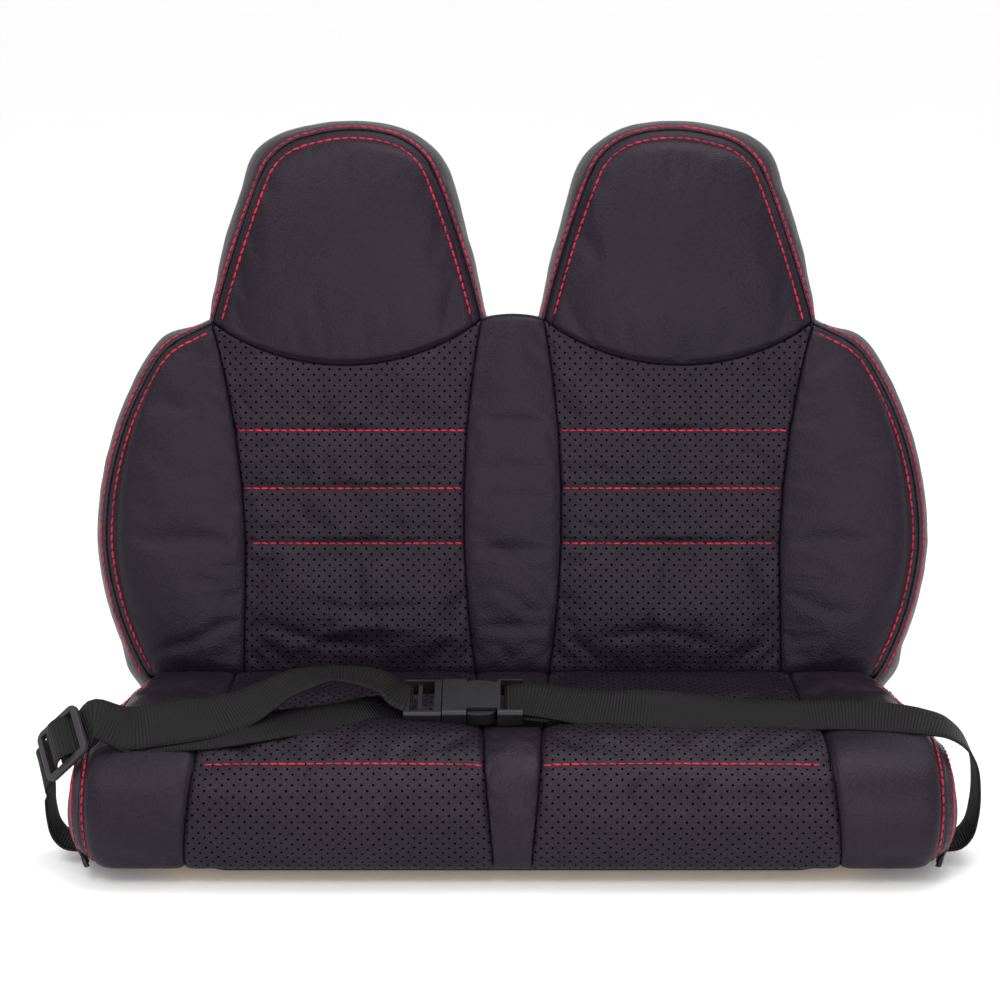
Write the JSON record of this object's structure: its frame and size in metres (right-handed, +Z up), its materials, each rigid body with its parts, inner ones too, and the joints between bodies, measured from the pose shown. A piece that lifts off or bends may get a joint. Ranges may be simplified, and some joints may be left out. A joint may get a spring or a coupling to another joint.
{
  "type": "upholstered bench seat",
  "caption": "Upholstered twin bench seat in black perforated leather with red topstitching, integrated headrests and a lap belt with a side-release buckle.",
  "frame": {"origin": "centre of the four mounting holes on the underside of the base tray", "axes": "+X to the right in the front view, across the seat; +Y backwards; +Z up; the front of the seat faces -Y"},
  "size_m": [0.6032, 0.3259, 0.4474],
  "materials": {
    "tray_plastic": "moulded black polypropylene, fine texture",
    "cover_plastic": "moulded black ABS, fine leather-grain texture",
    "plywood": "unfinished birch plywood",
    "zinc_steel": "bright zinc plate",
    "foam": "open-cell polyurethane foam",
    "plain_leather": "black artificial leather, fine grain, satin",
    "perforated_leather": "black artificial leather, perforated, fine grain, satin",
    "gusset_leather": "black artificial leather with red topstitching",
    "webbing": "black ribbed polypropylene webbing",
    "buckle_plastic": "moulded black acetal, satin",
    "glide_plastic": "moulded charcoal acetal, matte"
  },
  "bodies": {
    "seat": {"base_tray": "tray_plastic", "rear_cover": "cover_plastic", "seat_board": "plywood", "back_board": "plywood", "tray_screws": "zinc_steel", "tee_nuts": "zinc_steel", "bracket_bolts": "zinc_steel", "bracket_screws": "zinc_steel", "corner_bracket_left": "zinc_steel", "corner_bracket_right": "zinc_steel", "rear_cover_screws": "zinc_steel", "listing_rod": "zinc_steel", "cover_staples": "zinc_steel", "belt_anchor_washers": "zinc_steel", "belt_anchor_screws": "zinc_steel", "seat_foam": "foam", "back_foam": "foam", "wing_foam_left": "foam", "wing_foam_right": "foam", "headrest_foam_left": "foam", "headrest_foam_right": "foam", "cover_back_middle": "plain_leather", "cover_seat_middle": "plain_leather", "cover_headrest_left": "plain_leather", "cover_headrest_right": "plain_leather", "cover_wing_left": "plain_leather", "cover_wing_right": "plain_leather", "cover_seat_side_left": "plain_leather", "cover_seat_side_right": "plain_leather", "cover_back_perforated_left": "perforated_leather", "cover_back_perforated_right": "perforated_leather", "cover_seat_perforated_left": "perforated_leather", "cover_seat_perforated_right": "perforated_leather", "gusset_valley": "gusset_leather", "gusset_wing_left": "gusset_leather", "gusset_wing_right": "gusset_leather", "gusset_headrest_left": "gusset_leather", "gusset_headrest_right": "gusset_leather", "cover_seat_gusset_left": "gusset_leather", "cover_seat_gusset_right": "gusset_leather", "belt_strap_left": "webbing", "belt_strap_right": "webbing", "buckle_plug": "buckle_plastic"},
    "socket": {"buckle_socket": "buckle_plastic"},
    "prong_front": {"buckle_prong_front": "buckle_plastic"},
    "prong_rear": {"buckle_prong_rear": "buckle_plastic"},
    "glide": {"tri_glide": "glide_plastic"}
  },
  "joints": [
    {"name": "socket_release", "type": "slide", "parent": "seat", "child": "socket", "axis": [1, 0, 0], "range_m": [0, 0.036], "deforming": ["belt_strap_right", "buckle_prong_front", "buckle_prong_rear"]},
    {"name": "prong_front_squeeze", "type": "hinge", "parent": "seat", "child": "prong_front", "pos_m": [-0.0442, -0.05898, 0.09258], "axis": [0, -0.2756, 0.9613], "range_deg": [0, 6], "stiffness_Nm_per_rad": 1},
    {"name": "prong_rear_squeeze", "type": "hinge", "parent": "seat", "child": "prong_rear", "pos_m": [-0.0442, -0.03302, 0.10002], "axis": [0, 0.2756, -0.9613], "range_deg": [0, 6], "stiffness_Nm_per_rad": 1},
    {"name": "glide_adjust", "type": "slide", "parent": "seat", "child": "glide", "axis": [0.705, -0.146, 0.694], "range_m": [-0.01, 0.01], "deforming": ["belt_strap_left"]}
  ]
}
